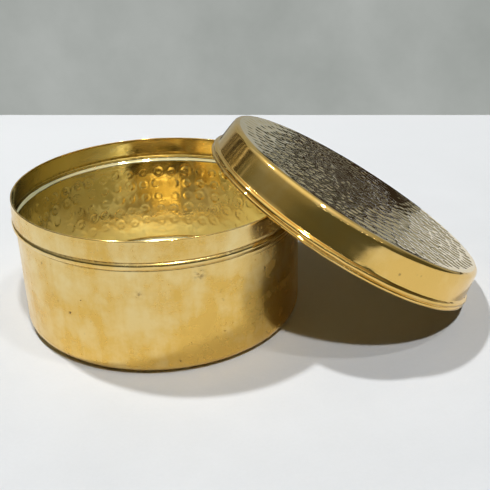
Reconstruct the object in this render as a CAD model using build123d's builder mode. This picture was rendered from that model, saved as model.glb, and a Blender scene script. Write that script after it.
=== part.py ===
"""Round brass spice box: a deep box, a slip-over lid leaning against it, seven small cups and a spoon.

The origin is the centre of the box's underside, +Z is up, and the lid leans towards +X.
"""

import os
from math import cos, radians, sin

from build123d import *

# ---- driving dimensions, mm and degrees ----
SHEET = 1.0  # sheet of the box and the lid
FLOAT = 0.3  # gap between a loose piece and what it rests on

# box
WALL_R = 90.0  # outside of the wall under the step
FOOT_R = 90.5  # outside of the wall at its foot
FOOT_FILLET = 7.0
SWAGE_LOW = 68.1  # lower end of the round swage that divides the wall from the neck
SWAGE_HIGH = 72.1  # upper end, at the crease
SWAGE_BULGE = 1.2  # how far the swage's arc stands out of its chord
NECK_R = 91.5  # outside of the neck at the crease
RIM_R = 90.8  # outside of the neck at the rim
BOX_H = 85.8

# lid, measured square to its own tilted mouth
LID_TILT = 31.2
LID_REACH = 119.3  # from the box's axis to the centre of the lid's mouth
LID_H = 24.2
LID_TOP_R = 93.6  # outside of the skirt at the crown
LID_SKIRT_R = 96.6  # outside of the skirt over the bead
LID_CORNER = 3.5
BEAD_H = 5.4
BEAD_W = 3.0
BEAD_R = 97.0  # middle of the rolled bead

# cups
CUP_SHEET = 0.8
CUP_H = 28.0
CUP_RIM_R = 23.0  # outside of the cup's wall at the rim
CUP_FOOT_R = 19.6
CUP_FILLET = 4.0
CUP_LIP_W = 1.8
CUP_LIP_H = 2.0
NEST_PITCH = 9.4  # how far a nested cup stands above the cup that holds it
CUP_SEATS = [(-60.0, -10.0), (0.0, -8.0), (-33.0, -53.0), (18.0, -58.0)]
NESTED_SEATS = [0, 2, 3]  # seats where a second cup stands inside the first

# spoon
SPOON_X, SPOON_Y = -14.0, 47.0  # middle of the spoon on the box's floor
SPOON_L = 92.0
SPOON_SHEET = 1.2
BOWL_R = 10.5
BOWL_DEPTH = 5.0
HANDLE_W = 5.0
HANDLE_RISE = 3.0  # how far the handle arches over its chord
HANDLE_TIP_R = 2.0

os.makedirs("parts", exist_ok=True)


# ---- box: one spun sheet, with an outward swage under a smooth neck ----
with BuildPart() as box_body:
    with BuildSketch(Plane.XZ) as box_profile:
        with BuildLine():
            Polyline((0, SHEET), (0, 0), (FOOT_R, 0), (WALL_R, SWAGE_LOW))
            SagittaArc((WALL_R, SWAGE_LOW), (NECK_R, SWAGE_HIGH), -SWAGE_BULGE)
            Polyline(
                (NECK_R, SWAGE_HIGH),
                (RIM_R, BOX_H),
                (RIM_R - SHEET, BOX_H),
                (NECK_R - SHEET, SWAGE_HIGH),
            )
            SagittaArc((NECK_R - SHEET, SWAGE_HIGH), (WALL_R - SHEET, SWAGE_LOW), SWAGE_BULGE)
            Polyline((WALL_R - SHEET, SWAGE_LOW), (FOOT_R - SHEET, SHEET), (0, SHEET))
        make_face()
        outer_foot = box_profile.vertices().sort_by_distance((FOOT_R, 0, 0))[0]
        fillet(outer_foot, FOOT_FILLET)
        inner_foot = box_profile.vertices().sort_by_distance((FOOT_R - SHEET, SHEET, 0))[0]
        fillet(inner_foot, FOOT_FILLET - SHEET)
    revolve(axis=Axis.Z)

box_body.part.label = "box_body"
export_step(box_body.part, "parts/box_body.step")


# ---- lid: a shallow crown and skirt ending in a rolled bead ----
# The bead's lowest point touches the table, and the bead's far side rests over the box's rim.
lean_sin, lean_cos = sin(radians(LID_TILT)), cos(radians(LID_TILT))
bead_drop = BEAD_R * lean_sin + BEAD_W / 2 * (1 - lean_cos)
lid_centre = (LID_REACH, 0, bead_drop)
lid_plane = Plane(origin=lid_centre, x_dir=(lean_cos, 0, -lean_sin), z_dir=(0, -1, 0))
lid_axis = Axis(lid_centre, (lean_sin, 0, lean_cos))

with BuildPart() as lid:
    with BuildSketch(lid_plane) as lid_profile:
        with BuildLine():
            Polyline(
                (0, LID_H),
                (LID_TOP_R, LID_H),
                (LID_SKIRT_R, BEAD_H / 2),
                (LID_SKIRT_R - SHEET, BEAD_H / 2),
                (LID_TOP_R - SHEET, LID_H - SHEET),
                (0, LID_H - SHEET),
                close=True,
            )
        make_face()
        outer_corner = lid_profile.vertices().sort_by_distance((LID_TOP_R, LID_H, 0))[0]
        fillet(outer_corner, LID_CORNER)
        inner_corner = lid_profile.vertices().sort_by_distance(
            (LID_TOP_R - SHEET, LID_H - SHEET, 0)
        )[0]
        fillet(inner_corner, LID_CORNER - SHEET)
        with Locations((BEAD_R, BEAD_H / 2)):
            SlotOverall(BEAD_H, BEAD_W, rotation=90)
    revolve(axis=lid_axis)

lid.part.label = "lid"
export_step(lid.part, "parts/lid.step")


# ---- katoris: seven small cups on four seats, three of them nested in pairs ----
floor_z = SHEET + FLOAT
cup_places = [(x, y, floor_z) for x, y in CUP_SEATS]
cup_places += [(*CUP_SEATS[seat], floor_z + NEST_PITCH) for seat in NESTED_SEATS]

for number, (cup_x, cup_y, cup_z) in enumerate(cup_places, start=1):
    cup_plane = Plane(origin=(cup_x, cup_y, cup_z), x_dir=(1, 0, 0), z_dir=(0, -1, 0))
    with BuildPart() as katori:
        with BuildSketch(cup_plane) as cup_profile:
            with BuildLine():
                Polyline(
                    (0, 0),
                    (CUP_FOOT_R, 0),
                    (CUP_RIM_R, CUP_H - CUP_LIP_H / 2),
                    (CUP_RIM_R - CUP_SHEET, CUP_H - CUP_LIP_H / 2),
                    (CUP_FOOT_R - CUP_SHEET, CUP_SHEET),
                    (0, CUP_SHEET),
                    close=True,
                )
            make_face()
            outer_foot = cup_profile.vertices().sort_by_distance((CUP_FOOT_R, 0, 0))[0]
            fillet(outer_foot, CUP_FILLET)
            inner_foot = cup_profile.vertices().sort_by_distance(
                (CUP_FOOT_R - CUP_SHEET, CUP_SHEET, 0)
            )[0]
            fillet(inner_foot, CUP_FILLET - CUP_SHEET)
            with Locations((CUP_RIM_R - CUP_SHEET + CUP_LIP_W / 2, CUP_H - CUP_LIP_H / 2)):
                Ellipse(CUP_LIP_W / 2, CUP_LIP_H / 2)
        revolve(axis=Axis((cup_x, cup_y, cup_z), (0, 0, 1)))
    katori.part.label = f"katori_{number}"
    export_step(katori.part, f"parts/katori_{number}.step")


# ---- spoon: a dished bowl with a thin arched handle, lying on the box's floor ----
bowl_sphere_r = (BOWL_R**2 + BOWL_DEPTH**2) / (2 * BOWL_DEPTH)
bowl_x = SPOON_X - SPOON_L / 2 + BOWL_R
bowl_plane = Plane(origin=(bowl_x, SPOON_Y, floor_z), x_dir=(1, 0, 0), z_dir=(0, -1, 0))
handle_from = (BOWL_R - SPOON_SHEET / 2, BOWL_DEPTH - SPOON_SHEET / 2)
handle_to = (SPOON_L - BOWL_R, SPOON_SHEET / 2)
handle_top = (
    (handle_from[0] + handle_to[0]) / 2,
    (handle_from[1] + handle_to[1]) / 2 + HANDLE_RISE,
)

with BuildPart() as spoon:
    with BuildSketch(bowl_plane):
        with Locations((0, bowl_sphere_r)):
            Circle(bowl_sphere_r)
            Circle(bowl_sphere_r - SPOON_SHEET, mode=Mode.SUBTRACT)
        Rectangle(BOWL_R, BOWL_DEPTH, align=(Align.MIN, Align.MIN), mode=Mode.INTERSECT)
    revolve(axis=Axis((bowl_x, SPOON_Y, floor_z), (0, 0, 1)))
    with BuildSketch(bowl_plane):
        with BuildLine():
            ThreePointArc(handle_from, handle_top, handle_to)
        trace(line_width=SPOON_SHEET)
    extrude(amount=HANDLE_W / 2, both=True)
    tip_edges = spoon.edges().filter_by(Axis.Z, tolerance=15).sort_by(Axis.X)[-2:]
    fillet(tip_edges, HANDLE_TIP_R)

spoon.part.label = "spoon"
export_step(spoon.part, "parts/spoon.step")
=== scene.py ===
from math import cos, hypot, pi, radians, sin, sqrt

import bpy
import numpy as np
from mathutils import Matrix, Vector


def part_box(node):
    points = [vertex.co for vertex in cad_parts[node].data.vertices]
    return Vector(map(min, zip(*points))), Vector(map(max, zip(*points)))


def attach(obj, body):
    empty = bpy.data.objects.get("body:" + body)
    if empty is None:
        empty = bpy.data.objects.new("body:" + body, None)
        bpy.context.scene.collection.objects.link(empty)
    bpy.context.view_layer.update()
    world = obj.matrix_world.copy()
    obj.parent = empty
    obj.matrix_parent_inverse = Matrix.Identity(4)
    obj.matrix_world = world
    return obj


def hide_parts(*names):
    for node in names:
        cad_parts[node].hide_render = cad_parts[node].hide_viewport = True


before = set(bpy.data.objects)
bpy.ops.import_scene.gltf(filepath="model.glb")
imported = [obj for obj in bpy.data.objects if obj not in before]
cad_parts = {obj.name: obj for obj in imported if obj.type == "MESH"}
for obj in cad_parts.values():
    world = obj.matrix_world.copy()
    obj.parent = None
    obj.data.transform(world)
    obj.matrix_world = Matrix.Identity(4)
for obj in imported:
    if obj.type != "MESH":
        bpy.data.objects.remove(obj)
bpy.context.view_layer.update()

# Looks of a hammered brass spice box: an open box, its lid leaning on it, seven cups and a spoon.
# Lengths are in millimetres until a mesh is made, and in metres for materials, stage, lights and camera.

MM = 0.001

# ---- driving dimensions, as in the CAD model ----
SHEET = 1.0
FOOT_R, FOOT_FILLET, WALL_R = 90.5, 7.0, 90.0
SWAGE_LOW = 68.1
SWAGE_CENTRE, SWAGE_RADIUS = (89.53, 70.56), 2.5
NECK_R, RIM_R, BOX_H = 91.5, 90.8, 85.8
LID_TILT = radians(31.2)
LID_H, LID_TOP_R, LID_SKIRT_R, LID_CORNER = 24.2, 93.6, 96.6, 3.5
BEAD_R, BEAD_H, BEAD_W = 97.0, 5.4, 3.0
BEAD_INNER_R = BEAD_R - BEAD_W / 2
CUP_SHEET, CUP_H, CUP_RIM_R, CUP_FOOT_R, CUP_FILLET = 0.8, 28.0, 23.0, 19.6, 4.0
CUP_LIP_W, CUP_LIP_H = 1.8, 2.0
SPOON_SHEET, BOWL_R, BOWL_DEPTH = 1.2, 10.5, 5.0
HANDLE_W, HANDLE_RISE = 5.0, 3.0

# ---- mesh resolution ----
COARSE = 240  # points round a plain ring
FINE = 3 * COARSE  # points round a hammered ring
CROWN_GRID = 260  # cells across the hammered crown of the lid
CUP_POINTS = 144  # points round a cup


# ================= outlines =================

def arc(centre, radius, start, end, steps):
    """Points of an arc in the (radius, height) plane, angles in degrees."""
    return [
        (centre[0] + radius * cos(radians(a)), centre[1] + radius * sin(radians(a)))
        for a in np.linspace(start, end, steps)
    ]


def run(start, end, pitch):
    """Points from start up to, but without, end, about pitch apart."""
    count = max(1, round(hypot(end[0] - start[0], end[1] - start[1]) / pitch))
    return [
        (start[0] + (end[0] - start[0]) * k / count, start[1] + (end[1] - start[1]) * k / count)
        for k in range(count)
    ]


def lathe_ring(radius, pitch, height, reach):
    """Height of the shallow rings that a lathe leaves on a flat, out to a radius of reach."""
    return height * (1 - cos(2 * pi * radius / pitch)) * (radius < reach)


def smooth_step(value, low, high):
    """From 0 under low to 1 over high, with soft ends."""
    share = np.clip((value - low) / (high - low), 0, 1)
    return share * share * (3 - 2 * share)


# ================= surfaces of revolution =================

def unevenness(seed, waves, most_turns, longest):
    """A smooth function of (angle, height) that repeats once round, with values of about -1 to 1."""
    rng = np.random.default_rng(seed)
    terms = [
        (rng.integers(0, most_turns + 1), rng.normal() * 2 * pi / longest, rng.uniform(0, 2 * pi))
        for _ in range(waves)
    ]

    def value(angle, height):
        total = sum(np.cos(turns * angle + rise * height + phase) for turns, rise, phase in terms)
        return total / sqrt(2 * waves)

    return value


def ring(radius, height, count):
    """One ring of points, in millimetres. The radius may be an array with a value for each point."""
    angle = np.arange(count) * 2 * pi / count
    return np.stack([radius * np.cos(angle), radius * np.sin(angle), height + 0 * angle], 1)


def stitch(first, second):
    """Faces between two closed rings of vertex numbers, where one may be finer by a whole factor."""
    if len(first) < len(second):
        return [face[::-1] for face in stitch(second, first)]
    faces = []
    step = len(first) // len(second)
    for i, near in enumerate(second):
        after = second[(i + 1) % len(second)]
        span = [first[(i * step + k) % len(first)] for k in range(step + 1)]
        faces += fan(span, near, after)
    return faces


def fan(span, near, after):
    """Faces from a row of vertices to the one or two vertices across from it."""
    if near == after:
        return [(a, b, near) for a, b in zip(span, span[1:])]
    if len(span) == 2:
        return [(span[0], span[1], after, near)]
    middle = len(span) // 2
    faces = [(a, b, near) for a, b in zip(span[: middle + 1], span[1 : middle + 1])]
    faces.append((span[middle], after, near))
    faces += [(a, b, after) for a, b in zip(span[middle:], span[middle + 1 :])]
    return faces


def keep_values(mesh, name, values):
    """Store one value or one vector for each vertex, for the materials to read."""
    kind, field = ("FLOAT_VECTOR", "vector") if values.ndim == 2 else ("FLOAT", "value")
    layer = mesh.attributes.new(name, kind, "POINT")
    layer.data.foreach_set(field, values.astype(np.float32).ravel())


def shell(name, rings, place, inner_from, polish, cap=None):
    """A closed shell through rings of local points. cap is a last patch: points, faces and its edge.

    inner_from is the first and last ring of the inside, and polish gives how bright the edges are
    worn from each vertex's radius and height.
    """
    points, faces, numbers, start = [], [], [], 0
    for one in rings:
        numbers.append(list(range(start, start + len(one))))
        points.append(one)
        start += len(one)
    for first, second in zip(numbers, numbers[1:]):
        faces += stitch(first, second)
    inner = np.zeros(start)
    inner[numbers[inner_from[0]][0] : numbers[inner_from[1]][-1] + 1] = 1
    if cap:
        cap_points, cap_faces, cap_edge = cap
        faces += stitch(numbers[-1], [start + i for i in cap_edge])
        faces += [tuple(start + i for i in face) for face in cap_faces]
        points.append(cap_points)
        inner = np.concatenate([inner, np.zeros(len(cap_points))])
    local = np.concatenate(points) * MM
    mesh = bpy.data.meshes.new(name)
    mesh.from_pydata(local.tolist(), [], faces)
    keep_values(mesh, "spun", local)
    keep_values(mesh, "inside", inner)
    keep_values(mesh, "polish", polish(np.hypot(local[:, 0], local[:, 1]) / MM, local[:, 2] / MM))
    mesh.transform(place)
    mesh.shade_smooth()
    piece = bpy.data.objects.new(name, mesh)
    bpy.context.collection.objects.link(piece)
    return piece


# ================= box =================

HAMMER_COLUMNS, HAMMER_ROWS = 52, 6
HAMMER_LOW, HAMMER_HIGH = 5.2, 64.4  # the hammered stretch of the inside wall
HAMMER_RINGS = 66
BLOW_R, BLOW_DEPTH = 3.2, 0.17
BLOW_SIZES, BLOW_STRENGTHS = (0.85, 1.12), (0.5, 1.2)  # least and most, as shares
COLUMN_STRAY, ROW_STRAY = 0.07, 0.06  # how far a blow strays, as a share of the pitch
SCRIBE_Z, SCRIBE_DEPTH, SCRIBE_W = 65.2, 0.06, 0.45
RIM_ROUND = SHEET / 2
THINNEST = 0.25  # sheet left between a blow inside and a dent outside
WALL_WAVE, INSIDE_WAVE, NECK_WAVE, ROLL_WAVE = 0.07, 0.09, 0.05, 0.05  # height of slow waves
DENT_STEEPNESS = 1.6

# dents in the outside wall: angle round the box in degrees, height, radius, depth
WALL_DENTS = [
    (-34.0, 54.0, 2.4, 0.40),
    (-47.0, 60.5, 3.2, 0.20),
    (-72.0, 63.0, 4.5, 0.22),
    (-94.0, 55.0, 3.0, 0.18),
    (-68.0, 30.0, 7.0, 0.10),
    (-112.0, 22.0, 9.0, 0.12),
    (35.0, 38.0, 6.0, 0.15),
    (98.0, 52.0, 5.0, 0.14),
    (165.0, 30.0, 8.0, 0.16),
]

# dark spots on the outside wall, the first two painted shade beside dents: angle in degrees, height,
# radius, strength
WALL_DARK_SPOTS = [
    (-77.0, 62.5, 2.6, 0.9),
    (-99.0, 53.0, 1.6, 0.7),
    (-52.0, 24.0, 4.0, 0.4),
    (120.0, 40.0, 3.0, 0.7),
]
CREASE_SHADE = [(72.85, 0.45, 0.75), (67.85, 0.35, 0.5)]  # painted shade along the creases over and under the swage: height, half width, strength


def blow_profile(share):
    """Depth of one punched ring against distance over its radius: a shallow dish in a raised lip."""
    dish = 0.35 * np.where(share < 1, (1 - share**2) ** 2, 0)
    groove = 0.65 * np.exp(-(((share - 0.70) / 0.26) ** 2))
    lip = 0.45 * np.exp(-(((share - 1.20) / 0.22) ** 2))
    return dish + groove - lip


def hammered_wall(heights):
    """How far the inside wall is pushed out at each height and angle, in rows of FINE values."""
    rng = np.random.default_rng(11)
    angle = np.arange(FINE) * 2 * pi / FINE
    radius = WALL_R - SHEET
    push = np.zeros((len(heights), FINE))
    row_pitch = (HAMMER_HIGH - HAMMER_LOW) / HAMMER_ROWS
    for column in range(HAMMER_COLUMNS):
        for row in range(HAMMER_ROWS):
            turn = (column + rng.normal() * COLUMN_STRAY) / HAMMER_COLUMNS
            height = HAMMER_LOW + (row + 0.5 + rng.normal() * ROW_STRAY) * row_pitch
            size = BLOW_R * rng.uniform(*BLOW_SIZES)
            depth = BLOW_DEPTH * rng.uniform(*BLOW_STRENGTHS)
            across = (angle - turn * 2 * pi + pi) % (2 * pi) - pi
            share = np.hypot(across[None, :] * radius, heights[:, None] - height) / size
            push += np.where(share < 2, depth * blow_profile(share), 0)
    soft = unevenness(5, 14, 26, 30.0)
    fade = smooth_step(heights, HAMMER_LOW - 2, HAMMER_LOW + 4)
    fade *= 1 - smooth_step(heights, HAMMER_HIGH - 4, HAMMER_HIGH + 1)
    return push + INSIDE_WAVE * fade[:, None] * soft(angle[None, :], heights[:, None])


def dented_wall(height, angle, ripple):
    """How far the outside wall is pushed at one height: slow ripples and a few knocks."""
    push = WALL_WAVE * ripple(angle, height) * smooth_step(height, 6, 16)
    for degrees, dent_z, size, depth in WALL_DENTS:
        across = (angle - radians(degrees) + pi) % (2 * pi) - pi
        share = np.hypot(across * WALL_R, height - dent_z) / size
        push = push - depth * np.exp(-(share**2) * DENT_STEEPNESS)
    return push


def wall_r(height):
    """Radius of the slightly tapered outside wall."""
    return FOOT_R + (WALL_R - FOOT_R) * height / SWAGE_LOW


def box_outside():
    """Outline from the middle of the underside to the top of the rim."""
    foot_x = FOOT_R - FOOT_FILLET
    underside = run((0, 0), (foot_x, 0), 2.4)
    points = [(r, lathe_ring(r, 7.0, 0.10, 80) * (r > 3.5)) for r, _ in underside]
    points += arc((foot_x - 0.05, FOOT_FILLET), FOOT_FILLET, -90, 0, 18)
    points += run((wall_r(8.2), 8.2), (wall_r(64.2), 64.2), 1.9)
    for step in (-2.0, -1.0, -0.5, 0.0, 0.5, 1.0, 2.0):
        z = SCRIBE_Z + step * SCRIBE_W
        points.append((wall_r(z) - SCRIBE_DEPTH * max(0, 1 - abs(step)), z))
    points += [(WALL_R + 0.02, 66.6), (WALL_R, 67.2), (WALL_R - 0.10, 67.6), (WALL_R - 0.28, 67.95)]
    points += arc(SWAGE_CENTRE, SWAGE_RADIUS, -68, 52, 20)
    points += [(NECK_R - 0.60, 72.65), (NECK_R - 0.62, 72.85)]  # the crease over the swage
    points += [(NECK_R - 0.42, 73.15), (NECK_R - 0.15, 73.55)]
    points += run((NECK_R - 0.04, 74.0), (RIM_R, BOX_H - RIM_ROUND), 1.6)
    points += arc((RIM_R - RIM_ROUND, BOX_H - RIM_ROUND), RIM_ROUND, 0, 180, 9)
    return points


def box_inside_top():
    """Outline from the rim down to the hammered wall, on the inside."""
    points = run((RIM_R - SHEET, BOX_H - RIM_ROUND - 0.6), (NECK_R - SHEET, 73.6), 1.6)
    points += [(NECK_R - SHEET - 0.02, 73.2), (NECK_R - SHEET - 0.10, 72.6), (NECK_R - SHEET - 0.06, 72.2)]
    points += arc(SWAGE_CENTRE, SWAGE_RADIUS - SHEET, 42, -66, 15)
    points += [(WALL_R - SHEET, 68.4), (WALL_R - SHEET - 0.05, 67.6), (WALL_R - SHEET, 66.8)]
    return points


def box_inside_floor():
    """Outline from the hammered wall to the middle of the floor."""
    radius = FOOT_FILLET - SHEET
    corner = FOOT_R - SHEET - radius
    points = arc((corner - 0.05, FOOT_FILLET), radius, 0, -90, 14)
    floor = run((corner - 0.6, SHEET), (0, SHEET), 2.6) + [(0, SHEET)]
    return points + [(r, z - lathe_ring(r, 9.0, 0.06, 78)) for r, z in floor]


def box_polish(radius, height):
    """Rubbed bright on the swage's roll, on the rim and round the foot's corner."""
    roll = np.exp(-(((height - SWAGE_CENTRE[1]) / 1.7) ** 2)) * (radius > WALL_R - 2)
    rim = smooth_step(height, BOX_H - 1.0, BOX_H - 0.4)
    foot = 0.5 * np.exp(-(((height - 2.5) / 2.0) ** 2)) * (radius > FOOT_R - FOOT_FILLET)
    return np.clip(roll + rim + foot, 0, 1)


def box_spots_and_shade(x, y, z):
    """How dark the outside is painted at each place, in millimetres: dark spots, two of them painted shade
    beside dents, and painted shade along the swage's creases.
    """
    spots_and_shade = np.zeros(len(x))
    radius = np.hypot(x, y)
    for degrees, height, size, strength in WALL_DARK_SPOTS:
        across = WALL_R * ((np.arctan2(y, x) - radians(degrees) + pi) % (2 * pi) - pi)
        far = np.hypot(across, z - height) / size
        spots_and_shade += strength * np.exp(-(far**2)) * (radius > WALL_R - SHEET / 2)
    for height, width, strength in CREASE_SHADE:
        spots_and_shade += strength * np.exp(-(((z - height) / width) ** 2)) * (radius > WALL_R - 0.6)
    return spots_and_shade


def make_box():
    """The box as one closed sheet, dented outside and hammered inside."""
    angle = np.arange(COARSE) * 2 * pi / COARSE
    ripple = unevenness(3, 12, 9, 70.0)
    neck_ripple = unevenness(8, 8, 7, 200.0)
    roll_ripple = unevenness(9, 16, 64, 9.0)
    rings = [np.array([[0.0, 0.0, 0.0]])]
    for r, z in box_outside()[1:]:
        push = dented_wall(z, angle, ripple) if FOOT_FILLET < z < SCRIBE_Z - 1 else 0 * angle
        if z > SCRIBE_Z:
            on_roll = np.exp(-(((z - SWAGE_CENTRE[1]) / 1.8) ** 2))
            push = NECK_WAVE * neck_ripple(angle, z) + ROLL_WAVE * on_roll * roll_ripple(angle, z)
        rings.append(ring(r + push, z, COARSE))
    inner_from = len(rings)
    for r, z in box_inside_top():
        rings.append(ring(r + NECK_WAVE * neck_ripple(angle, z), z, COARSE))
    heights = np.linspace(HAMMER_HIGH + 1.4, FOOT_FILLET + 0.4, HAMMER_RINGS)
    fine_angle = np.arange(FINE) * 2 * pi / FINE
    for z, push in zip(heights, hammered_wall(heights)):
        room = SHEET - THINNEST + dented_wall(z, fine_angle, ripple)
        rings.append(ring(wall_r(z) - SHEET + np.minimum(push, room), z, FINE))
    for r, z in box_inside_floor()[:-1]:
        rings.append(ring(r, z, COARSE))
    rings.append(np.array([[0.0, 0.0, SHEET]]))
    box = shell("box_shell", rings, Matrix.Identity(4), (inner_from, len(rings) - 1), box_polish)
    points = np.empty(3 * len(box.data.vertices))
    box.data.vertices.foreach_get("co", points)
    # the dark spots and the painted crease shade, kept for the materials to read
    keep_values(box.data, "spots_and_shade", box_spots_and_shade(*points.reshape(-1, 3).T / MM))
    return box


# ================= lid =================

CROWN_MARGIN = 5.5  # smooth edge of the crown, outside the hammering
BLOW_PITCH, BLOW_CROWDING = 7.6, 0.92  # between circles, and along one as a share of that
BLOW_REACH = 2.2 * BLOW_PITCH
CROWN_EDGE = 3.0  # where the hammering fades into the corner
CROWN_BLOW_DEPTH, CROWN_BLOW_CURVE = 0.42, 19.0
CREASE_SOFTNESS = 0.016  # rounds the ridges between blows
CROWN_STRAY = 0.75  # how far a blow strays, in millimetres
CROWN_DEPTHS, CROWN_CURVES = (0.7, 1.25), (0.8, 1.3)  # least and most, as shares
CROWN_SAG = 0.20  # slow hollows under the hammering
CROWN_SHOW_THROUGH = 0.8  # share of the hammering that shows on the inside
SKIRT_WAVE, CORNER_WAVE, BEAD_WAVE = 0.06, 0.07, 0.12


def crown_blows():
    """Places, depths and curvatures of the blows, on circles round the middle of the crown."""
    rng = np.random.default_rng(21)
    blows = []
    circles = int((LID_TOP_R - LID_CORNER - CROWN_MARGIN) / BLOW_PITCH)
    for circle in range(circles + 1):
        radius = circle * BLOW_PITCH
        count = max(1, round(2 * pi * radius / (BLOW_PITCH * BLOW_CROWDING)))
        start = rng.uniform(0, 2 * pi)
        for blow in range(count):
            turn = start + blow * 2 * pi / count
            x = radius * cos(turn) + rng.normal() * CROWN_STRAY
            y = radius * sin(turn) + rng.normal() * CROWN_STRAY
            depth = CROWN_BLOW_DEPTH * rng.uniform(*CROWN_DEPTHS)
            blows.append((x, y, depth, CROWN_BLOW_CURVE * rng.uniform(*CROWN_CURVES)))
    return blows


def crown_drop(x, y):
    """How far the hammered crown lies under its plane: the lower envelope of all blows, softened."""
    total = np.ones_like(x)
    for blow_x, blow_y, depth, curve in crown_blows():
        far = (x - blow_x) ** 2 + (y - blow_y) ** 2
        near = far < BLOW_REACH**2
        total[near] += np.exp((depth - far[near] / (2 * curve)) / CREASE_SOFTNESS)
    drop = CREASE_SOFTNESS * np.log(total)
    slow = unevenness(17, 10, 5, 60.0)
    radius = np.hypot(x, y)
    drop += CROWN_SAG * (1 + slow(np.arctan2(y, x), radius)) * (1 - smooth_step(radius, 60, 88))
    return drop


def crown_cap(radius, height):
    """The hammered crown as a square grid mapped to a disc: points, faces and the edge in order."""
    side = CROWN_GRID + 1
    line = np.linspace(-1, 1, side)
    a, b = np.meshgrid(line, line, indexing="ij")
    wide = np.abs(a) > np.abs(b)
    safe_a, safe_b = np.where(a == 0, 1, a), np.where(b == 0, 1, b)
    turn = np.where(wide, pi / 4 * b / safe_a, pi / 2 - pi / 4 * a / safe_b)
    reach = np.where(wide, a, b) * radius
    x, y = reach * np.cos(turn), reach * np.sin(turn)
    edge_fade = 1 - smooth_step(np.hypot(x, y), radius - CROWN_EDGE, radius)
    z = height - crown_drop(x, y) * edge_fade
    points = np.stack([x, y, z], -1).reshape(-1, 3)
    number = np.arange(side * side).reshape(side, side)
    faces = np.stack([number[:-1, :-1], number[1:, :-1], number[1:, 1:], number[:-1, 1:]], -1)
    last, half = CROWN_GRID, CROWN_GRID // 2
    edge = [*number[last, half:last], *number[last:0:-1, last]]
    edge += [*number[0, last:0:-1], *number[0:last, 0], *number[last, 0:half]]
    return points, faces.reshape(-1, 4).tolist(), edge


def skirt_r(height):
    """Outside radius of the lid's sloping skirt."""
    share = (LID_H - height) / (LID_H - BEAD_H / 2)
    return LID_TOP_R + (LID_SKIRT_R - LID_TOP_R) * share


def lid_inside():
    """Outline from the middle of the crown's underside to the mouth."""
    top = LID_H - SHEET - 0.25
    radius = LID_CORNER - SHEET
    corner = LID_TOP_R - SHEET - radius
    points = run((0, top), (corner, top), 4.0)
    points += arc((corner, top - radius), radius, 90, 4, 9)
    points += run((skirt_r(18.5) - SHEET, 18.5), (skirt_r(5.4) - SHEET, 5.4), 2.2)
    points += [(skirt_r(5.2) - SHEET, 5.2), (BEAD_INNER_R, 4.6)]
    return points


def lid_bead():
    """Outline round the rolled bead: inside, mouth, lower lip, groove and upper roll."""
    points = [(BEAD_INNER_R, 3.4), (BEAD_INNER_R, 2.0)]
    points += arc((96.6, 1.1), 1.1, 180, 270, 6)
    points += arc((97.15, 1.15), 1.15, -90, 62, 11)
    points += [(97.45, 2.35), (97.42, 2.55)]
    points += arc((96.75, 4.05), 1.62, -58, 78, 15)
    points += [(96.55, 5.78), (96.32, 5.86), (96.16, 6.1)]
    return points


def lid_outside():
    """Outline from the bead up the skirt and round the corner."""
    points = run((skirt_r(6.6), 6.6), (skirt_r(LID_H - LID_CORNER - 0.6), LID_H - LID_CORNER - 0.6), 1.7)
    corner = LID_TOP_R - LID_CORNER + 0.35
    return points + arc((corner, LID_H - LID_CORNER), LID_CORNER, 8, 84, 12)


def lid_polish(radius, height):
    """Rubbed bright on the rolled bead and along the crown's corner, and a little on the crown."""
    bead = (1 - smooth_step(height, BEAD_H, BEAD_H + 0.8)) * (radius > BEAD_INNER_R)
    corner_z = LID_H - LID_CORNER * 0.4
    corner = np.exp(-(((height - corner_z) / 1.1) ** 2)) * (radius > LID_TOP_R - LID_CORNER)
    crown = 0.6 * smooth_step(height, LID_H - 2.0, LID_H - 1.2)
    return np.clip(np.maximum(bead + corner, crown), 0, 1)


def lid_place():
    """The leaning lid's place: tilted, with the low side of its bead on the table."""
    low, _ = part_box("lid")
    tilt_cos, tilt_sin = cos(LID_TILT), sin(LID_TILT)
    bead_half = BEAD_W / 2
    reach = low.x / MM + bead_half + BEAD_R * tilt_cos - bead_half * tilt_sin
    rise = BEAD_R * tilt_sin + bead_half * (1 - tilt_cos)
    return Matrix.Translation(Vector((reach, 0, rise)) * MM) @ Matrix.Rotation(LID_TILT, 4, "Y")


def make_lid():
    """The lid as one closed sheet with its hammered crown as a cap."""
    points_round = CROWN_GRID
    angle = np.arange(points_round) * 2 * pi / points_round
    skirt_ripple = unevenness(31, 10, 8, 60.0)
    corner_ripple = unevenness(33, 16, 48, 40.0)
    bead_ripple = unevenness(37, 16, 56, 9.0)
    inner_points = lid_inside()
    rings = [np.array([[0.0, 0.0, inner_points[0][1]]])]
    for r, h in inner_points[1:]:
        one = ring(r, h, points_round)
        if h > LID_H - SHEET - 0.5:
            fade = 1 - smooth_step(r, 84, 89)
            one[:, 2] -= CROWN_SHOW_THROUGH * fade * (crown_drop(one[:, 0], one[:, 1]) - 0.25)
        rings.append(one)
    inner_to = len(rings) - 1
    for r, h in lid_bead():
        wobble = BEAD_WAVE * bead_ripple(angle, h) * smooth_step(r, 95.6, 96.6)
        rings.append(ring(r + wobble, h, points_round))
    for r, h in lid_outside():
        if h < LID_H - LID_CORNER:
            rings.append(ring(r + SKIRT_WAVE * skirt_ripple(angle, h), h, points_round))
        else:
            push = CORNER_WAVE * corner_ripple(angle, h)
            rings.append(ring(r + push, h + 0.5 * push, points_round))
    cap = crown_cap(LID_TOP_R - LID_CORNER + 0.4, LID_H)
    lid = shell("lid_shell", rings, lid_place(), (0, inner_to), lid_polish, cap)
    # marks the crown, where the materials paint a paler gold that stands in for its reflections
    pale = np.zeros(len(lid.data.vertices))
    pale[-len(cap[0]) :] = 1
    keep_values(lid.data, "pale", pale)
    return lid


# ================= cups =================

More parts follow.
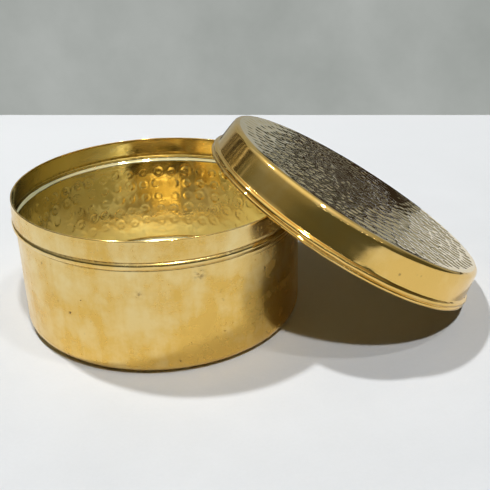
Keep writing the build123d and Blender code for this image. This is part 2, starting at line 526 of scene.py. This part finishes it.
def cup_outline():
    """Outline of one cup, from the middle of its underside round the rolled lip to its floor."""
    foot = CUP_FOOT_R - CUP_FILLET
    lip = (CUP_RIM_R - CUP_SHEET + CUP_LIP_W / 2, CUP_H - CUP_LIP_H / 2)
    slope = (CUP_RIM_R - CUP_FOOT_R) / (CUP_H - CUP_LIP_H / 2)
    outer = [(r, lathe_ring(r, 5.2, 0.05, foot)) for r, _ in run((0, 0), (foot, 0), 1.3)]
    outer += arc((foot, CUP_FILLET), CUP_FILLET, -90, -6, 12)
    start_z, end_z = CUP_FILLET + 0.9, lip[1] - 1.1
    outer += run(
        (CUP_FOOT_R + slope * start_z - 0.02, start_z), (CUP_FOOT_R + slope * end_z, end_z), 1.5
    )
    roll = [
        (lip[0] + CUP_LIP_W / 2 * cos(radians(a)), lip[1] + CUP_LIP_H / 2 * sin(radians(a)))
        for a in np.linspace(-70, 196, 22)
    ]
    inner_foot = CUP_FILLET - CUP_SHEET
    inner = run(
        (CUP_FOOT_R + slope * (end_z - 0.5) - CUP_SHEET, end_z - 0.5),
        (CUP_FOOT_R + slope * start_z - CUP_SHEET, start_z),
        1.5,
    )
    inner += arc((foot, CUP_FILLET), inner_foot, -4, -90, 10)
    floor = run((foot - 0.5, CUP_SHEET), (0, CUP_SHEET), 1.4)
    inner += [(r, z + lathe_ring(r, 4.6, 0.04, foot)) for r, z in floor]
    return outer, roll, inner


def cup_polish(radius, height):
    """Rubbed bright on the rolled lip."""
    return smooth_step(height, CUP_H - CUP_LIP_H - 0.3, CUP_H - CUP_LIP_H + 0.3)


CUP_WAVE, CUP_TURN = 0.06, 1.3  # depth of slow waves, and radians from one cup to the next


def make_cup(number):
    """One small cup, a little out of round."""
    low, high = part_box(f"katori_{number}")
    centre = Vector(((low.x + high.x) / 2, (low.y + high.y) / 2, low.z))
    ripple = unevenness(50 + number, 9, 6, 40.0)
    angle = np.arange(CUP_POINTS) * 2 * pi / CUP_POINTS
    outer, roll, inner = cup_outline()
    rings = [np.array([[0.0, 0.0, 0.0]])]
    for r, z in outer[1:] + roll + inner:
        dent = CUP_WAVE * ripple(angle, z) * smooth_step(z, CUP_FILLET, CUP_H * 0.6)
        rings.append(ring(r + dent, z, CUP_POINTS))
    rings.append(np.array([[0.0, 0.0, CUP_SHEET]]))
    inner_from = len(outer) + len(roll)
    spin = Matrix.Rotation(number * CUP_TURN, 4, "Z")
    place = Matrix.Translation(centre) @ spin
    return shell(f"katori_{number}_shell", rings, place, (inner_from, len(rings) - 1), cup_polish)


# ================= spoon =================

SPOON_STATIONS, SPOON_ACROSS = 150, 24  # rows along the spoon and cells across it
SPOON_EDGE = ((0, 0.97), (-0.25, 1.0), (-0.6, 1.0), (-1.0, 0.97))  # depth in sheets, width as a share


def spoon_loops(length):
    """Closed loops of points across the spoon, from the bowl's front to the handle's tip."""
    sphere = (BOWL_R**2 + BOWL_DEPTH**2) / (2 * BOWL_DEPTH)
    along = length / 2 - length / 2 * np.cos(np.linspace(0.02, pi, SPOON_STATIONS))
    from_bowl = along - BOWL_R
    bowl_half = np.sqrt(np.clip(BOWL_R**2 - from_bowl**2, 0, None)) * (from_bowl < BOWL_R)
    to_tip = np.clip((length - along) / 2.2, 0, 1)
    flare = 1 - 0.35 * np.exp(-(((from_bowl - 24) / 16) ** 2))
    handle_half = HANDLE_W / 2 * flare * np.sqrt(1 - (1 - to_tip) ** 2) * (from_bowl > 0)
    half = (bowl_half**6 + handle_half**6 + 1e-4) ** (1 / 6)
    handle_run = np.clip((from_bowl - BOWL_R) / (length - 2 * BOWL_R), 0, 1)
    handle_z = BOWL_DEPTH * (1 - handle_run) + SPOON_SHEET * handle_run
    handle_z += 4 * HANDLE_RISE * handle_run * (1 - handle_run) - 0.1
    share = np.linspace(-1, 1, SPOON_ACROSS + 1)
    x = np.repeat(along[:, None], SPOON_ACROSS + 1, 1)
    y = half[:, None] * share[None, :]
    far = np.clip((x - BOWL_R) ** 2 + y**2, 0, (BOWL_R + 2) ** 2)
    bowl_z = sphere - np.sqrt(np.clip((sphere - SPOON_SHEET) ** 2 - far, 1, None))
    blend = smooth_step(from_bowl, BOWL_R - 2.5, BOWL_R + 1.5)[:, None]
    crest = -0.25 * share[None, :] ** 2 * blend
    top = np.minimum(bowl_z, BOWL_DEPTH) * (1 - blend) + handle_z[:, None] * blend + crest
    rows = [np.stack([x, y * wide, top + lift * SPOON_SHEET], -1) for lift, wide in SPOON_EDGE]
    loops = []
    for i in range(SPOON_STATIONS):
        edge = [rows[k][i, -1] for k in (1, 2)]
        back_edge = [rows[k][i, 0] for k in (2, 1)]
        loops.append(np.array([*rows[0][i], *edge, *rows[3][i, ::-1], *back_edge]))
    return loops


def end_faces(ids):
    """Faces that close the loop at one end of the spoon."""
    across = SPOON_ACROSS + 1
    faces = []
    for k in range(across - 1):
        faces.append((ids[k], ids[k + 1], ids[2 * across - k], ids[2 * across + 1 - k]))
    faces.append((ids[across - 1], ids[across], ids[across + 1], ids[across + 2]))
    faces.append((ids[0], ids[2 * across + 1], ids[2 * across + 2], ids[2 * across + 3]))
    return faces


def make_spoon():
    """A dished round bowl and a thin arched handle, as one closed sheet."""
    low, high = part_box("spoon")
    loops = spoon_loops((high.x - low.x) / MM)
    per_loop = len(loops[0])
    numbers = [list(range(i * per_loop, (i + 1) * per_loop)) for i in range(SPOON_STATIONS)]
    faces = []
    for first, second in zip(numbers, numbers[1:]):
        faces += stitch(first, second)
    faces += end_faces(numbers[0])
    faces += [face[::-1] for face in end_faces(numbers[-1])]
    local = np.concatenate(loops) * MM
    mesh = bpy.data.meshes.new("spoon_sheet")
    mesh.from_pydata(local.tolist(), [], faces)
    keep_values(mesh, "spun", local)
    mesh.transform(Matrix.Translation(Vector((low.x, (low.y + high.y) / 2, low.z))))
    mesh.shade_smooth()
    piece = bpy.data.objects.new("spoon_sheet", mesh)
    bpy.context.collection.objects.link(piece)
    return piece


# ================= materials =================

class Graph:
    """A material's or a world's node tree, with short calls to add and link nodes."""

    def __init__(self, owner):
        owner.use_nodes = True
        self.tree = owner.node_tree
        self.tree.nodes.clear()

    def add(self, kind, inputs=None, **settings):
        node = self.tree.nodes.new(kind)
        for name, value in settings.items():
            setattr(node, name, value)
        for name, value in (inputs or {}).items():
            self.fill(node.inputs[name], value)
        return node

    def fill(self, socket, value):
        """Link another node's output to a socket, or set the socket's own value."""
        if isinstance(value, bpy.types.NodeSocket):
            self.tree.links.new(value, socket)
        else:
            socket.default_value = value

    def noise(self, vector, scale, detail=3.0, roughness=0.55):
        values = {"Vector": vector, "Scale": scale, "Detail": detail, "Roughness": roughness}
        return self.add("ShaderNodeTexNoise", values).outputs["Fac"]

    def stretch(self, vector, scale):
        return self.add("ShaderNodeMapping", {"Vector": vector, "Scale": scale}).outputs["Vector"]

    def attribute(self, name, output="Fac"):
        return self.add("ShaderNodeAttribute", attribute_name=name).outputs[output]

    def remap(self, value, low, high, new_low=0.0, new_high=1.0):
        values = {"Value": value, "From Min": low, "From Max": high, "To Min": new_low, "To Max": new_high}
        return self.add("ShaderNodeMapRange", values).outputs["Result"]

    def math(self, operation, first, second=0.0):
        return self.add("ShaderNodeMath", {0: first, 1: second}, operation=operation).outputs[0]

    def plus(self, first, second):
        return self.math("ADD", first, second)

    def times(self, first, second):
        return self.math("MULTIPLY", first, second)

    def mix(self, share, first, second):
        """A mix of two colours. 0, 6 and 7 are the Mix node's sockets for them, and 2 is its output."""
        node = self.add("ShaderNodeMix", data_type="RGBA")
        for number, value in ((0, share), (6, first), (7, second)):
            self.fill(node.inputs[number], value)
        return node.outputs[2]

    def bump(self, height, strength, distance):
        values = {"Height": height, "Strength": strength, "Distance": distance}
        return self.add("ShaderNodeBump", values).outputs["Normal"]

    def surface(self, shader, output="BSDF"):
        """Link the finished shader to the material's output."""
        end = self.add("ShaderNodeOutputMaterial")
        self.tree.links.new(shader.outputs[output], end.inputs["Surface"])


# noise scales of the patterns in the brass, per metre
CLOUD, WIDE_CLOUD, GRAIN = 62.0, 17.0, 900.0
STREAK = (150.0, 150.0, 16.0)
SPECK, SPECK_ZONE, BLOTCH = 230.0, 21.0, 520.0
LATHE_LINE, WIDE_LATHE_LINE = 1400.0, 260.0

MIDDLE = (0.40, 0.60)  # the stretch of a noise's values that is spread over the whole range
GOLD_TOP, GOLD_FOOT, GOLD_MOST = 0.060, 0.004, 0.5  # the gold is painted deeper from this height down, standing in for warm light bounced low on the brass
FLOOR_TOP, FLOOR_LOW = 0.007, 0.002  # heights between which the floor turns into the wall
INSIDE_ROUGH = 0.55  # roughness inside as a share of the roughness outside
RUBBED = 0.65  # share of the roughness that rubbing takes away
SPECK_ROUGH = 0.25  # roughness added over the tarnish specks and the painted shade
RELIEF_STRENGTH, RELIEF_DEPTH = 0.3, 0.00004


def tarnish_and_shade_mask(graph, place, inside, speck, specks):
    """Where the brass is dark: fine tarnish specks in some zones, and the dark spots and painted crease
    shade that the mesh carries.
    """
    zone = graph.noise(place, SPECK_ZONE, 1.0, 0.5)
    mask = graph.times(graph.remap(speck, 0.70, 0.78), graph.remap(zone, 0.48, 0.60))
    fewer_inside = graph.math("SUBTRACT", 1.0, graph.times(inside, 0.7))
    mask = graph.times(mask, graph.times(fewer_inside, specks))
    blotch = graph.remap(graph.noise(place, BLOTCH, 3.0, 0.6), 0.42, 0.62)
    return graph.math("MAXIMUM", mask, graph.times(graph.attribute("spots_and_shade"), blotch))


def brass(name, colours, rough, specks, lathe):
    """Worn spun brass: cloudy colour, soft streaks down the wall, lathe lines round it and dark specks,
    with painted shade, a painted deeper gold low down and a painted paler crown.

    colours are the light and the deep one outside, and then both inside. rough is the roughness of
    bright and of dull patches outside, and then inside on the floor.
    """
    light, deep, inner_light, inner_deep = colours
    rough_low, rough_high, rough_floor = rough
    material = bpy.data.materials.new(name)
    graph = Graph(material)
    place = graph.attribute("spun", "Vector")
    inside = graph.attribute("inside")
    apart = graph.add("ShaderNodeSeparateXYZ", {"Vector": place})
    x, y, z = (apart.outputs[k] for k in range(3))

    cloud = graph.noise(place, CLOUD, 4.0, 0.62)
    wide_cloud = graph.noise(place, WIDE_CLOUD, 2.0, 0.5)
    streak = graph.noise(graph.stretch(place, STREAK), 1.0, 3.0, 0.6)
    tone = graph.plus(graph.times(cloud, 0.5), graph.times(streak, 0.2))
    tone = graph.plus(tone, graph.times(wide_cloud, 0.3))
    # painted light: deeper gold towards the foot, for light bounced there
    painted_warmth_low_down = graph.remap(z, GOLD_TOP, GOLD_FOOT, 0.0, GOLD_MOST)
    share = graph.plus(graph.remap(tone, *MIDDLE), painted_warmth_low_down)
    outer_colour = graph.mix(share, light, deep)
    colour = graph.mix(inside, outer_colour, graph.mix(share, inner_light, inner_deep))
    # painted reflection: the lid's crown is painted a paler gold, standing in for the pale room it mirrors
    painted_pale = graph.mix(share, PAINTED_PALE_LIGHT, PAINTED_PALE_DEEP)
    colour = graph.mix(graph.attribute("pale"), colour, painted_pale)
    speck = graph.noise(place, SPECK, 2.0, 0.5)
    tarnish_and_shade = tarnish_and_shade_mask(graph, place, inside, speck, specks)
    # darkens the brass with tarnish specks and with the box's painted shade
    colour = graph.mix(tarnish_and_shade, colour, TARNISH_AND_SHADE)

    radius = graph.math("SQRT", graph.plus(graph.times(x, x), graph.times(y, y)))
    turned = graph.add("ShaderNodeCombineXYZ", {"X": radius, "Z": z}).outputs["Vector"]
    lines = graph.noise(turned, LATHE_LINE, 2.0, 0.7)
    wide_lines = graph.noise(turned, WIDE_LATHE_LINE, 2.0, 0.6)

    dull = graph.plus(graph.times(cloud, 0.55), graph.times(streak, 0.25))
    dull = graph.plus(dull, graph.times(wide_lines, 0.20))
    dull = graph.remap(dull, *MIDDLE, rough_low, rough_high)
    dull = graph.times(dull, graph.remap(inside, 0.0, 1.0, 1.0, INSIDE_ROUGH))
    floor = graph.times(inside, graph.remap(z, FLOOR_LOW, FLOOR_TOP, 1.0, 0.0))
    dull = graph.plus(dull, graph.times(floor, rough_floor - rough_low))
    dull = graph.plus(dull, graph.times(tarnish_and_shade, SPECK_ROUGH))
    left = graph.math("SUBTRACT", 1.0, graph.times(graph.attribute("polish"), RUBBED))
    dull = graph.times(dull, left)

    grain = graph.noise(place, GRAIN, 2.0, 0.5)
    relief = graph.plus(graph.times(lines, lathe), graph.times(grain, 0.25))
    relief = graph.plus(relief, graph.times(speck, 0.12))
    bump = graph.bump(relief, RELIEF_STRENGTH, RELIEF_DEPTH)
    values = {"Base Color": colour, "Metallic": 1.0, "Roughness": dull, "Normal": bump}
    graph.surface(graph.add("ShaderNodeBsdfPrincipled", values))
    return material


BOX_LIGHT, BOX_DEEP = (0.87, 0.67, 0.30, 1), (0.80, 0.51, 0.12, 1)
LID_LIGHT, LID_DEEP = (0.92, 0.66, 0.25, 1), (0.85, 0.55, 0.15, 1)
INNER_LIGHT, INNER_DEEP = (0.97, 0.89, 0.56, 1), (0.96, 0.84, 0.46, 1)
CUP_LIGHT, CUP_DEEP = (0.93, 0.75, 0.40, 1), (0.87, 0.64, 0.26, 1)
CUP_INNER_LIGHT, CUP_INNER_DEEP = (0.96, 0.86, 0.56, 1), (0.94, 0.80, 0.46, 1)
LID_INNER_LIGHT, LID_INNER_DEEP = (0.68, 0.57, 0.32, 1), (0.60, 0.46, 0.22, 1)
PAINTED_PALE_LIGHT, PAINTED_PALE_DEEP = (0.90, 0.76, 0.47, 1), (0.83, 0.66, 0.36, 1)  # the lid's crown, painted paler to stand in for the pale room it reflects
# the dark of the tarnish specks, also used for the painted shade on the box
TARNISH_AND_SHADE = (0.16, 0.10, 0.05, 1)
BOX_ROUGH, LID_ROUGH = (0.14, 0.32, 0.42), (0.09, 0.18, 0.30)
CUP_ROUGH, SPOON_ROUGH = (0.12, 0.26, 0.35), (0.12, 0.24, 0.12)


def make_materials():
    box = (BOX_LIGHT, BOX_DEEP, INNER_LIGHT, INNER_DEEP)
    lid = (LID_LIGHT, LID_DEEP, LID_INNER_LIGHT, LID_INNER_DEEP)
    small = (CUP_LIGHT, CUP_DEEP, CUP_INNER_LIGHT, CUP_INNER_DEEP)
    return {
        "box_brass": brass("box_brass", box, BOX_ROUGH, 0.9, 0.5),
        "lid_brass": brass("lid_brass", lid, LID_ROUGH, 0.5, 0.4),
        "cup_brass": brass("cup_brass", small, CUP_ROUGH, 0.5, 0.9),
        "spoon_brass": brass("spoon_brass", small, SPOON_ROUGH, 0.4, 0.2),
    }


def dress(piece, body, slot, node, materials):
    """Gives the piece the material named by slot, parents it to its body and hides the CAD node that it
    stands for.
    """
    piece.data.materials.append(materials[slot])
    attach(piece, body)
    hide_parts(node)


# ================= stage =================

TABLE_TURN = radians(-10.3)  # the table's back edge against the object's X axis
TABLE_FRONT, TABLE_SIDE = 2.2, 2.0
TABLE_BACK = 0.456  # how far the table goes behind the box
TABLE_CLOUD, WALL_CLOUD = 9.0, 3.0  # noise scales, per metre
TABLE_DARK, TABLE_LIGHT = (0.75, 0.78, 0.805, 1), (0.82, 0.85, 0.88, 1)
# painted light: the table's colour at the back, the stretch in Y over which it is painted in, and its most
# share
TABLE_FAR_PAINTED_LIGHT, FAR_FROM, FAR_TO, FAR_MOST = (0.91, 0.94, 0.965, 1), -0.05, 0.40, 0.9
WALL_DARK, WALL_LIGHT = (0.33, 0.35, 0.33, 1), (0.42, 0.44, 0.42, 1)
WALL_BACK, WALL_SIDE, WALL_DROP, WALL_TOP = 1.25, 2.2, -0.8, 2.0


def quad(name, corners, material):
    """A flat stage piece with four corners."""
    mesh = bpy.data.meshes.new(name)
    mesh.from_pydata(corners, [], [(0, 1, 2, 3)])
    mesh.materials.append(material)
    piece = bpy.data.objects.new(name, mesh)
    bpy.context.collection.objects.link(piece)
    return piece


def turned_with_table(corners):
    turn = Matrix.Rotation(TABLE_TURN, 3, "Z")
    return [turn @ Vector(corner) for corner in corners]


def upright(side_low, side_high, back, low, high):
    """Corners of an upright wall that runs along the table's back edge."""
    corners = [(side_low, back, low), (side_high, back, low)]
    return turned_with_table(corners + [(side_high, back, high), (side_low, back, high)])


def matte(name, dark, light, far, scale):
    """A plain mineral surface with faint clouds and a fine grain, painted paler towards the back to stand
    in for light that is brighter there.
    """
    material = bpy.data.materials.new(name)
    graph = Graph(material)
    place = graph.add("ShaderNodeTexCoord").outputs["Object"]
    cloud = graph.noise(place, scale, 5.0, 0.62)
    grain = graph.noise(place, scale * 60, 2.0, 0.6)
    share = graph.plus(graph.times(cloud, 0.8), graph.times(grain, 0.2))
    colour = graph.mix(graph.remap(share, 0.3, 0.7), dark, light)
    depth = graph.add("ShaderNodeSeparateXYZ", {"Vector": place}).outputs["Y"]
    # painted light: paler towards the back
    colour = graph.mix(graph.remap(depth, FAR_FROM, FAR_TO, 0.0, FAR_MOST), colour, far)
    values = {"Base Color": colour, "Roughness": 0.75, "Normal": graph.bump(grain, 0.15, 0.0004)}
    graph.surface(graph.add("ShaderNodeBsdfPrincipled", values))
    return material


def glowing_wall(name, dark, light, scale):
    """A grey wall far behind, evenly lit by lamps of its own."""
    material = bpy.data.materials.new(name)
    graph = Graph(material)
    place = graph.add("ShaderNodeTexCoord").outputs["Object"]
    cloud = graph.noise(place, scale, 5.0, 0.6)
    colour = graph.mix(graph.remap(cloud, 0.3, 0.7), dark, light)
    graph.surface(graph.add("ShaderNodeEmission", {"Color": colour, "Strength": 1.0}), "Emission")
    return material


def glow(name, colour, strength):
    material = bpy.data.materials.new(name)
    graph = Graph(material)
    shader = graph.add("ShaderNodeEmission", {"Color": colour, "Strength": strength})
    graph.surface(shader, "Emission")
    return material


# ================= what the brass mirrors =================

# a dark pot with leaves behind the lid: light shows through the gaps between the pot's bands
POT_X, POT_Y, POT_WIDTH = 0.190, 0.157, 0.125
POT_BANDS = [(0.0, 0.036), (0.041, 0.071), (0.077, 0.102)]
POT_COLOUR, LEAF_COLOUR = (0.030, 0.020, 0.013, 1), (0.022, 0.024, 0.014, 1)
LEAVES, LEAF_WIDTH, LEAF_FOOT, LEAF_TALL, LEAF_UNEVEN = 4, 0.017, 0.104, 0.060, 0.030
LEAF_X, LEAF_Y, LEAF_STEP_X, LEAF_STEP_Y = 0.150, 0.174, 0.027, -0.012

GAP_COLOUR = (0.035, 0.032, 0.024, 1)  # the room behind the table, under its back edge
GAP_SIDES, GAP_HEIGHTS, GAP_BEHIND = (-0.6, 1.2), (-0.40, 0.03), 0.06

# bright panes in front of a dark corner of the room, on the left: degrees round the box, width, strength
LEFT_PANES = [(112.0, 0.04, 0.5), (118.0, 0.02, 0.7), (123.0, 0.05, 0.4), (131.0, 0.02, 0.6)]
LEFT_PANES += [(136.0, 0.03, 0.8), (143.0, 0.06, 0.9), (152.0, 0.02, 0.5), (158.0, 0.04, 0.5)]
PANE_AWAY, PANE_UP, PANE_TALL, PANE_COLOUR = 1.3, 0.62, 0.9, (0.80, 0.74, 0.60, 1)
CORNER_PLACE, CORNER_WIDTH, CORNER_TALL = (-0.92, 1.10, 0.62), 1.1, 1.0
CORNER_COLOUR = (0.05, 0.043, 0.03, 1)

# a row of small ceiling lamps: degrees round the box
SMALL_LAMPS = [-118.0, -109.0, -101.0, -90.0, -83.0, -72.0, -64.0, -55.0, -48.0, -38.0]
SMALL_AWAY, SMALL_UP, SMALL_SIZE, SMALL_STRENGTH = 1.1, 0.72, 0.035, 8.0
SMALL_COLOUR = (1.0, 0.98, 0.94, 1)


def only_in_reflections(card):
    card.visible_camera = False
    card.visible_diffuse = False
    card.visible_shadow = False
    card.visible_transmission = False


def make_card(name, centre, width, height, colour, strength):
    """An upright card, seen only in reflections, facing the box."""
    middle = Vector(centre)
    away = Vector((middle.x, middle.y, 0)).normalized()
    across = Vector((-away.y, away.x, 0)) * width / 2
    up = Vector((0, 0, height / 2))
    corners = [middle - across - up, middle + across - up, middle + across + up, middle - across + up]
    only_in_reflections(quad(name, corners, glow(name, colour, strength)))


def round_the_box(degrees, away, height):
    return away * cos(radians(degrees)), away * sin(radians(degrees)), height


def make_plant_cards():
    for number, (low, high) in enumerate(POT_BANDS):
        middle = (POT_X, POT_Y, (low + high) / 2)
        make_card(f"pot_card_{number}", middle, POT_WIDTH, high - low, POT_COLOUR, 1.0)
    for number in range(LEAVES):
        tall = LEAF_TALL + LEAF_UNEVEN * sin(2.4 * number + 1.0)
        x, y = LEAF_X + LEAF_STEP_X * number, LEAF_Y + LEAF_STEP_Y * number
        middle = (x, y, LEAF_FOOT + tall / 2)
        make_card(f"leaf_card_{number}", middle, LEAF_WIDTH, tall, LEAF_COLOUR, 1.0)


def make_room_cards():
    corners = upright(*GAP_SIDES, TABLE_BACK + GAP_BEHIND, *GAP_HEIGHTS)
    only_in_reflections(quad("dark_gap_card", corners, glow("dark_gap", GAP_COLOUR, 1.0)))
    for number, (degrees, width, strength) in enumerate(LEFT_PANES):
        middle = round_the_box(degrees, PANE_AWAY, PANE_UP)
        make_card(f"left_pane_{number}", middle, width, PANE_TALL, PANE_COLOUR, strength)
    make_card("dark_corner_card", CORNER_PLACE, CORNER_WIDTH, CORNER_TALL, CORNER_COLOUR, 1.0)
    for number, degrees in enumerate(SMALL_LAMPS):
        middle = round_the_box(degrees, SMALL_AWAY, SMALL_UP)
        name = f"small_lamp_{number}"
        make_card(name, middle, SMALL_SIZE, SMALL_SIZE, SMALL_COLOUR, SMALL_STRENGTH)


def make_stage():
    table = matte("table_top", TABLE_DARK, TABLE_LIGHT, TABLE_FAR_PAINTED_LIGHT, TABLE_CLOUD)
    wall = glowing_wall("back_wall", WALL_DARK, WALL_LIGHT, WALL_CLOUD)
    front = [(-TABLE_SIDE, -TABLE_FRONT, 0), (TABLE_SIDE, -TABLE_FRONT, 0)]
    back = [(TABLE_SIDE, TABLE_BACK, 0), (-TABLE_SIDE, TABLE_BACK, 0)]
    quad("table", turned_with_table(front + back), table)
    corners = upright(-WALL_SIDE, WALL_SIDE, WALL_BACK, WALL_DROP, WALL_TOP)
    backdrop = quad("backdrop", corners, wall)
    backdrop.visible_diffuse = False
    make_plant_cards()
    make_room_cards()


# ================= light and camera =================

LAMP_AWAY = 3.4  # far enough for nearly parallel shadows
LAMP_SIZE = 0.19
LAMP_COLOUR = (1.0, 0.99, 0.98)
LAMP_TARGET = (0.05, 0, 0.04)

# three small ceiling lamps: direction from the target, power in watts
LAMPS = {
    "back_left_lamp": ((-0.30, 0.25, 1.0), 62.0),
    "front_lamp": ((0.10, -0.45, 1.0), 45.0),
    "front_right_lamp": ((0.29, -0.20, 1.0), 13.5),
}

# the room's light against the height of the direction, from straight down to straight up
ROOM_STOPS = [
    (0.0, (0.080, 0.084, 0.062, 1)),
    (0.42, (0.088, 0.092, 0.070, 1)),
    (0.78, (0.58, 0.58, 0.55, 1)),
    (1.0, (1.00, 1.00, 0.97, 1)),
]

CAMERA_EYE = (0.0032, -0.4441, 0.2516)
CAMERA_HEADING, CAMERA_DOWN, CAMERA_ROLL = radians(6.72), radians(25.75), radians(-0.986)
CAMERA_LENS, CAMERA_SENSOR = 54.0, 36.0
CAMERA_NEAR, CAMERA_FAR = 0.01, 50


def make_lights():
    middle = Vector(LAMP_TARGET)
    for name, (direction, power) in LAMPS.items():
        place = middle + Vector(direction).normalized() * LAMP_AWAY
        data = bpy.data.lights.new(name, "AREA")
        data.shape, data.size, data.energy, data.color = "DISK", LAMP_SIZE, power, LAMP_COLOUR
        lamp = bpy.data.objects.new(name, data)
        lamp.location = place
        lamp.rotation_euler = (middle - place).to_track_quat("-Z", "Y").to_euler()
        bpy.context.collection.objects.link(lamp)


def make_world():
    """A soft room: bright overhead, dim round the horizon."""
    world = bpy.data.worlds.new("room")
    bpy.context.scene.world = world
    graph = Graph(world)
    place = graph.add("ShaderNodeTexCoord").outputs["Generated"]
    height = graph.add("ShaderNodeSeparateXYZ", {"Vector": place}).outputs["Z"]
    ramp = graph.add("ShaderNodeValToRGB", {"Fac": height})
    stops = ramp.color_ramp.elements
    lowest, *between, highest = ROOM_STOPS
    for number, (position, tone) in enumerate((lowest, highest)):
        stops[number].position, stops[number].color = position, tone
    for position, tone in between:
        stops.new(position).color = tone
    background = graph.add("ShaderNodeBackground", {"Color": ramp.outputs["Color"], "Strength": 1.0})
    output = graph.add("ShaderNodeOutputWorld")
    graph.tree.links.new(background.outputs["Background"], output.inputs["Surface"])
    world.cycles_visibility.diffuse = False  # the lamps and the wall light the table


def make_camera():
    """The eye stands in front of the box and a little to the left of its lid."""
    data = bpy.data.cameras.new("camera")
    data.lens, data.sensor_width = CAMERA_LENS, CAMERA_SENSOR
    data.clip_start, data.clip_end = CAMERA_NEAR, CAMERA_FAR
    camera = bpy.data.objects.new("camera", data)
    turn = Matrix.Rotation(-CAMERA_HEADING, 4, "Z") @ Matrix.Rotation(pi / 2 - CAMERA_DOWN, 4, "X")
    roll = Matrix.Rotation(CAMERA_ROLL, 4, "Z")
    camera.matrix_world = Matrix.Translation(Vector(CAMERA_EYE)) @ turn @ roll
    bpy.context.collection.objects.link(camera)
    bpy.context.scene.camera = camera


# ================= the set =================

bpy.context.scene.view_settings.view_transform = "Standard"
materials = make_materials()
dress(make_box(), "box", "box_brass", "box_body", materials)
dress(make_lid(), "lid", "lid_brass", "lid", materials)
for number in range(1, 8):
    dress(make_cup(number), f"katori_{number}", "cup_brass", f"katori_{number}", materials)
dress(make_spoon(), "spoon", "spoon_brass", "spoon", materials)
make_stage()
make_lights()
make_world()
make_camera()
